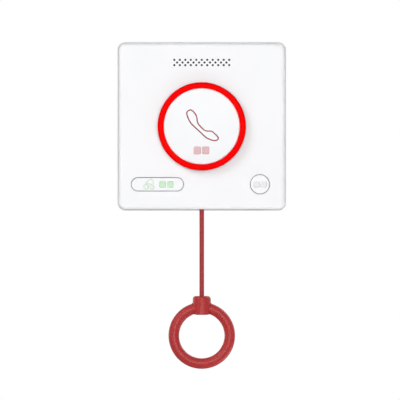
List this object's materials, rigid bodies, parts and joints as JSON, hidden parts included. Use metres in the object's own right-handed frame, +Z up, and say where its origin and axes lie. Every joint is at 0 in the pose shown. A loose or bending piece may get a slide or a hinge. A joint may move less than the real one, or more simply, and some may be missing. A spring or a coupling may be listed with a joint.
{
  "type": "patient call terminal",
  "caption": "Square wall call terminal with a ringed round call button, small service and cancel buttons, a speaker grille, and a pull cord that ends in a ring handle.",
  "frame": {"origin": "midway between the two wall screws, on the wall plane that the frame lies on", "axes": "+X to the viewer's right, +Y into the wall, +Z up; the front faces -Y"},
  "size_m": [0.086, 0.0446, 0.1668],
  "materials": {
    "cover_white": "fine moulded satin",
    "cap_white": "smooth satin",
    "frame_grey": "fine moulded matt",
    "housing_white": "moulded matt",
    "signal_red": "translucent gloss",
    "handle_red": "moulded gloss",
    "cord_red": "braided",
    "circuit_green": "solder mask",
    "chip_black": "moulded",
    "switch_black": "moulded",
    "plunger_white": "moulded",
    "steel": "zinc plated",
    "contact_brass": "gold plated",
    "silicone": "soft matt",
    "foam_black": "foam",
    "mesh_black": "fine woven",
    "cone_black": "film",
    "magnet_grey": "ground",
    "lamp_clear": "clear lens",
    "terminal_green": "moulded",
    "capacitor_blue": "sleeved",
    "slider_white": "low-friction moulded"
  },
  "bodies": {
    "terminal": {"front_cover": "cover_white", "mounting_frame": "frame_grey", "rear_housing": "housing_white", "housing_screws": "steel", "main_board": "circuit_green", "call_light_ring": "signal_red", "call_return_pad": "silicone", "ring_lamps": "lamp_clear", "call_switch_body": "switch_black", "service_switch_body": "switch_black", "service_lamp": "lamp_clear", "cancel_switch_body": "switch_black", "dust_mesh": "mesh_black", "speaker_gasket": "foam_black", "speaker_frame": "chip_black", "speaker_cone": "cone_black", "speaker_magnet": "magnet_grey", "speaker_contacts": "contact_brass", "microphone": "steel", "microphone_boot": "foam_black", "cord_bush": "frame_grey", "pull_spring": "steel", "pull_switch_body": "switch_black", "bus_board": "circuit_green", "bus_board_screws": "steel", "bus_terminal": "terminal_green", "terminal_screws": "steel", "bus_capacitors": "capacitor_blue", "board_link": "contact_brass", "processor_chip": "chip_black", "amplifier_chip": "chip_black"},
    "call_button": {"call_button_cap": "cap_white"},
    "call_plunger": {"call_switch_plunger": "plunger_white"},
    "service_button": {"service_button_cap": "cap_white"},
    "service_plunger": {"service_switch_plunger": "plunger_white"},
    "cancel_button": {"cancel_button_cap": "cap_white"},
    "cancel_plunger": {"cancel_switch_plunger": "plunger_white"},
    "slider": {"pull_slider": "slider_white", "upper_knot": "cord_red", "cord_inner": "cord_red"},
    "pull_plunger": {"pull_switch_plunger": "plunger_white"},
    "cord": {"pull_cord": "cord_red", "lower_knot": "cord_red", "pull_ring": "handle_red"}
  },
  "joints": [
    {"name": "call_press", "type": "slide", "parent": "terminal", "child": "call_button", "axis": [0, 1, 0], "range_m": [0, 0.0012], "stiffness_N_per_m": 1200, "springref_m": -0.0015, "deforming": ["call_return_pad"]},
    {"name": "call_plunger_press", "type": "slide", "parent": "terminal", "child": "call_plunger", "axis": [0, 1, 0], "range_m": [0, 0.0012]},
    {"name": "service_press", "type": "slide", "parent": "terminal", "child": "service_button", "axis": [0, 1, 0], "range_m": [0, 0.0005], "stiffness_N_per_m": 2000, "springref_m": -0.0003},
    {"name": "service_plunger_press", "type": "slide", "parent": "terminal", "child": "service_plunger", "axis": [0, 1, 0], "range_m": [0, 0.0005]},
    {"name": "cancel_press", "type": "slide", "parent": "terminal", "child": "cancel_button", "axis": [0, 1, 0], "range_m": [0, 0.0005], "stiffness_N_per_m": 2000, "springref_m": -0.0003},
    {"name": "cancel_plunger_press", "type": "slide", "parent": "terminal", "child": "cancel_plunger", "axis": [0, 1, 0], "range_m": [0, 0.0005]},
    {"name": "cord_pull", "type": "slide", "parent": "terminal", "child": "slider", "axis": [0, 0, -1], "range_m": [0, 0.004], "stiffness_N_per_m": 800, "springref_m": -0.004, "deforming": ["pull_spring"]},
    {"name": "pull_plunger_slide", "type": "slide", "parent": "terminal", "child": "pull_plunger", "axis": [1, 0, 0], "range_m": [0, 0.0008]},
    {"name": "cord_swing", "type": "hinge", "parent": "slider", "child": "cord", "pos_m": [0, -0.0089, -0.0445], "axis": [0, 1, 0], "range_deg": [-45, 45]}
  ],
  "couplings": [
    {"joint": "call_plunger_press", "follows": "call_press", "ratio": 1},
    {"joint": "service_plunger_press", "follows": "service_press", "ratio": 1},
    {"joint": "cancel_plunger_press", "follows": "cancel_press", "ratio": 1},
    {"joint": "pull_plunger_slide", "follows": "cord_pull", "ratio": 0.2}
  ]
}
